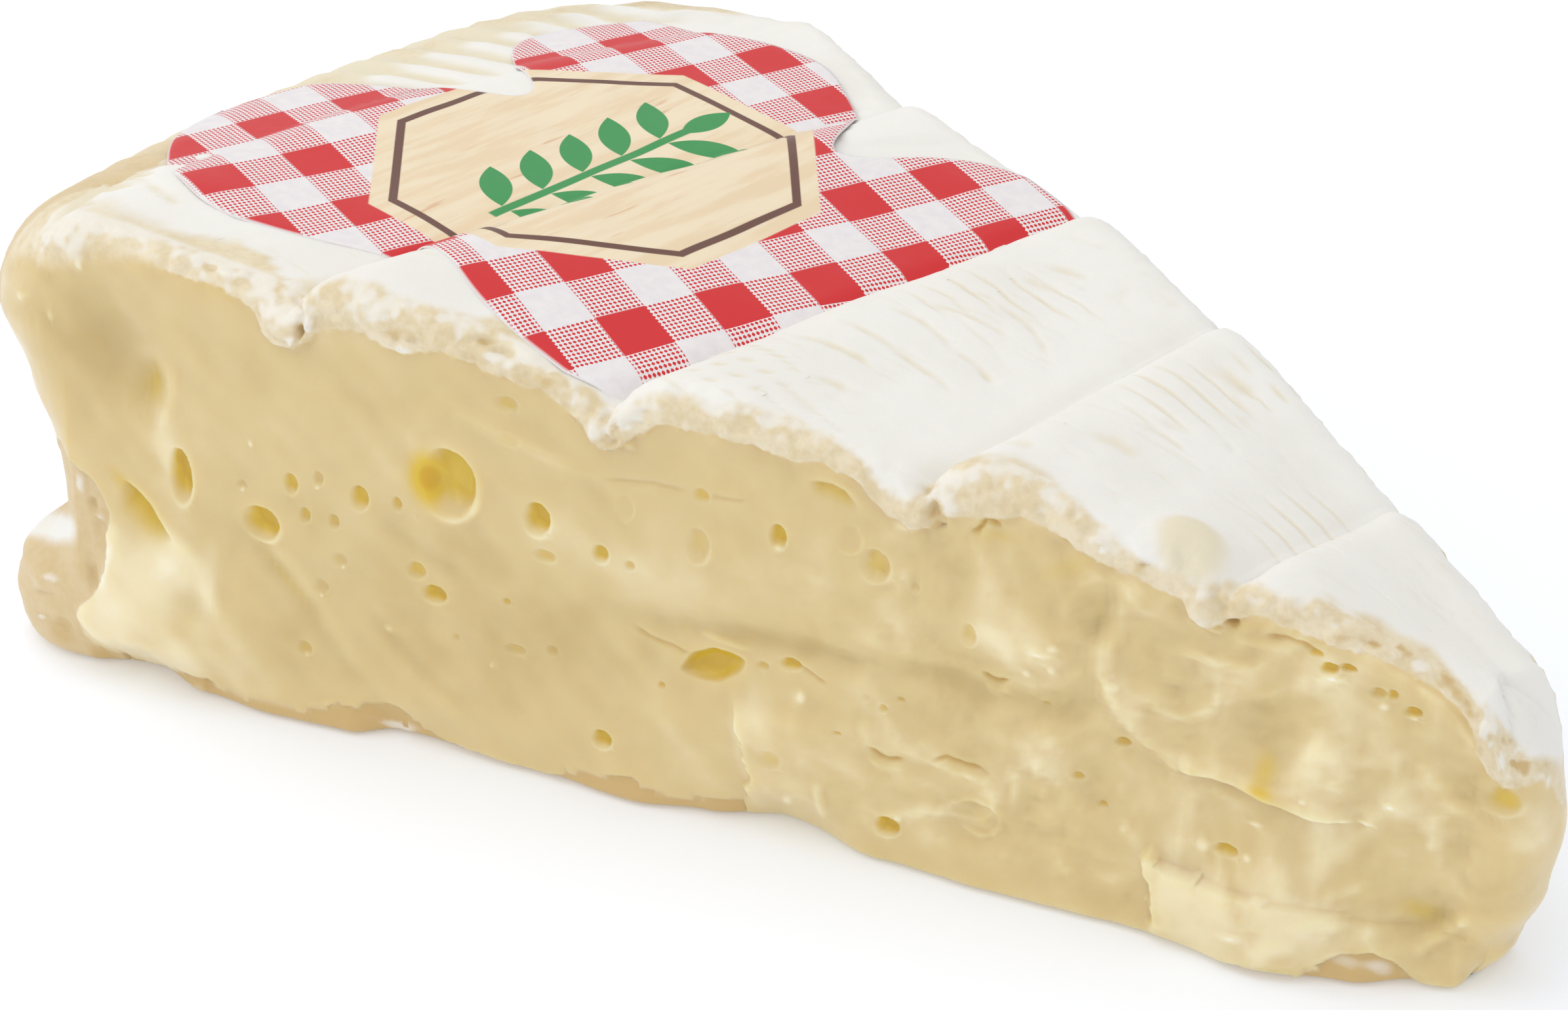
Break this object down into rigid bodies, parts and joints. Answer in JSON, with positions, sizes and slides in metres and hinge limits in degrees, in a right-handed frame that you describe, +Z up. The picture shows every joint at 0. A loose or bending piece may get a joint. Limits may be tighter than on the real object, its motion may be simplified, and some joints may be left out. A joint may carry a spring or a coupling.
{
  "type": "wedge of soft white-mould cheese",
  "caption": "Wedge cut from a large round of soft white-mould cheese, with a piece of checked paper label lying on its ridged top.",
  "frame": {"origin": "centre of the wedge's footprint box, at the level it rests on", "axes": "+X from the rim to the tip, +Y towards the far cut, +Z up"},
  "size_m": [0.1042, 0.0632, 0.0332],
  "materials": {
    "cheese": "soft cream paste with a matte white rind",
    "label": "coated paper printed with a red and white check"
  },
  "bodies": {
    "root": {"cheese": "cheese", "label": "label"}
  },
  "joints": []
}
